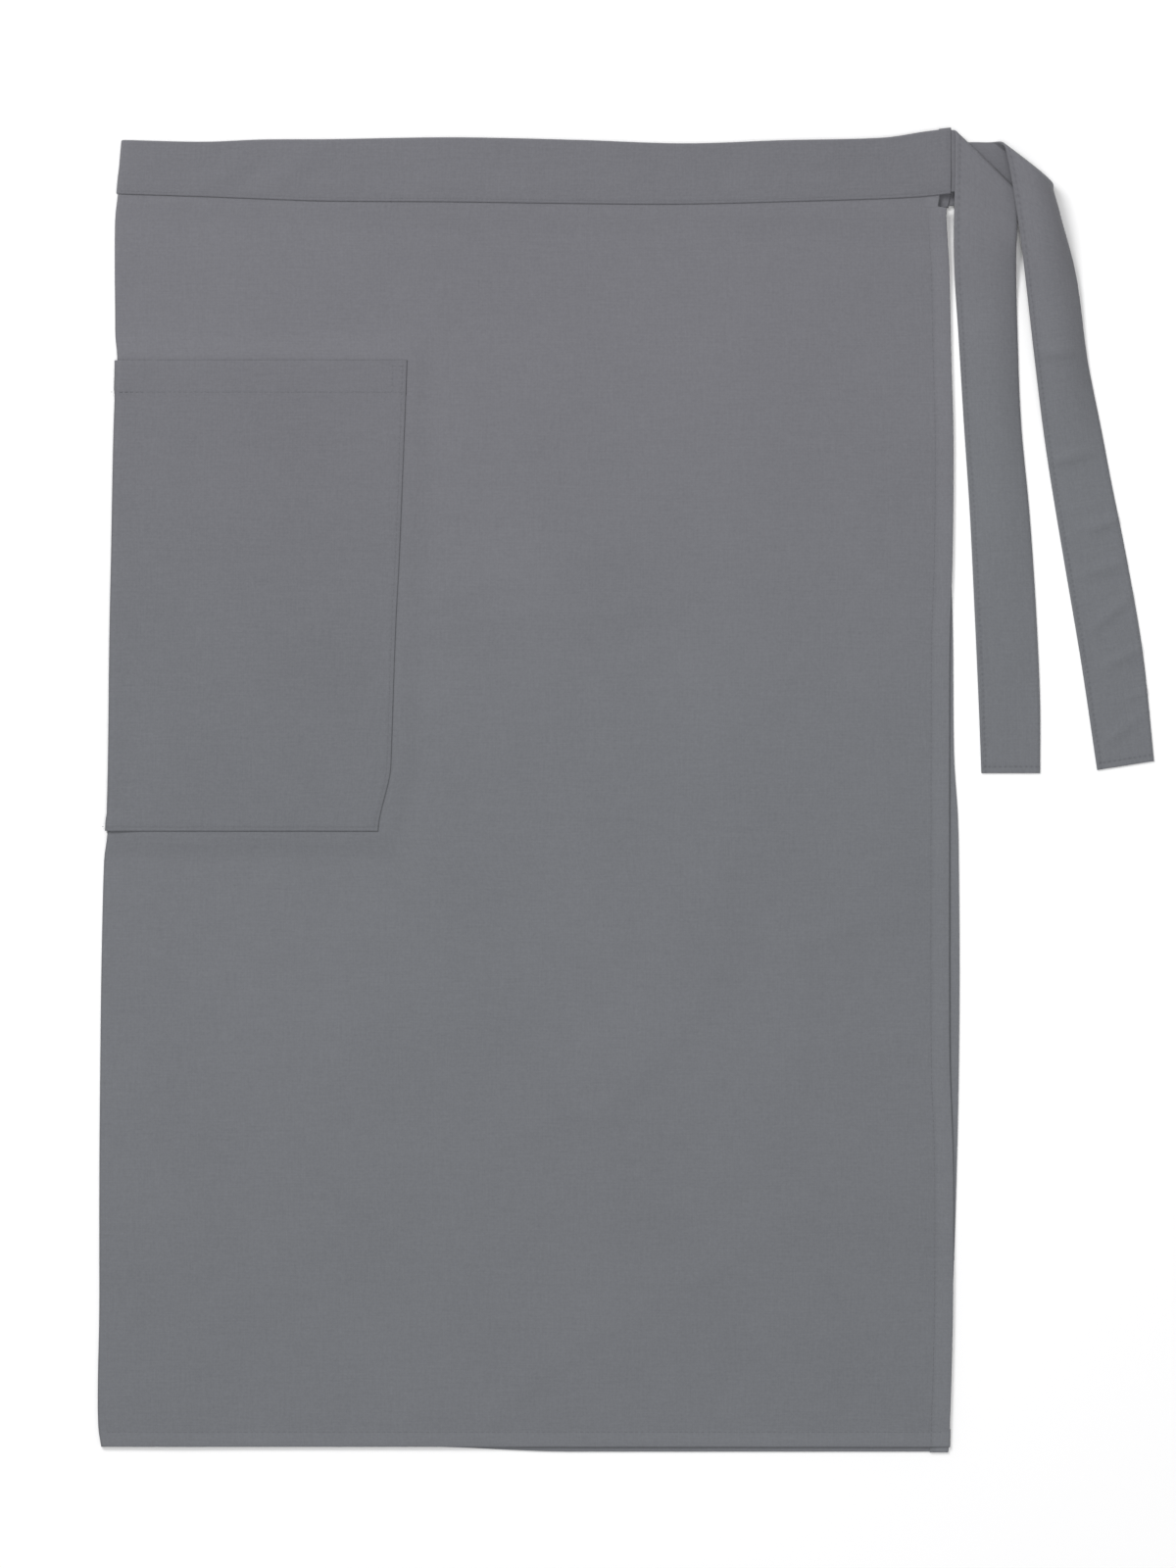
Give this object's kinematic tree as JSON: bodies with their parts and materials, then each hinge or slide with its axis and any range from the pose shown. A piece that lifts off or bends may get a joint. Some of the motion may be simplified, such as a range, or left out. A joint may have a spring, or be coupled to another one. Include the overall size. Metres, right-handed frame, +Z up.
{
  "type": "waist apron",
  "caption": "Plain waist apron laid flat and folded in half lengthwise, with a waistband, long self-fabric ties and a wide patch pocket that wraps round the fold.",
  "frame": {"origin": "middle of the laid, folded apron's box, on the floor it lies on", "axes": "+X from the fold to the hemmed side edges and the ties, +Y from the bottom hem to the waistband, +Z up from the floor through the back leaf and then the front leaf"},
  "size_m": [0.5664, 0.7062, 0.0207],
  "materials": {
    "skirt_cloth": "matte plain-weave cotton blend, mid grey",
    "pocket_cloth": "matte plain-weave cotton blend, mid grey",
    "band_cloth": "matte plain-weave cotton blend, mid grey, doubled and topstitched",
    "tie_cloth": "matte plain-weave cotton blend, mid grey, doubled and edge-stitched"
  },
  "bodies": {
    "root": {"skirt": "skirt_cloth", "pocket": "pocket_cloth", "waistband": "band_cloth", "front_tie": "tie_cloth", "back_tie": "tie_cloth"}
  },
  "joints": []
}
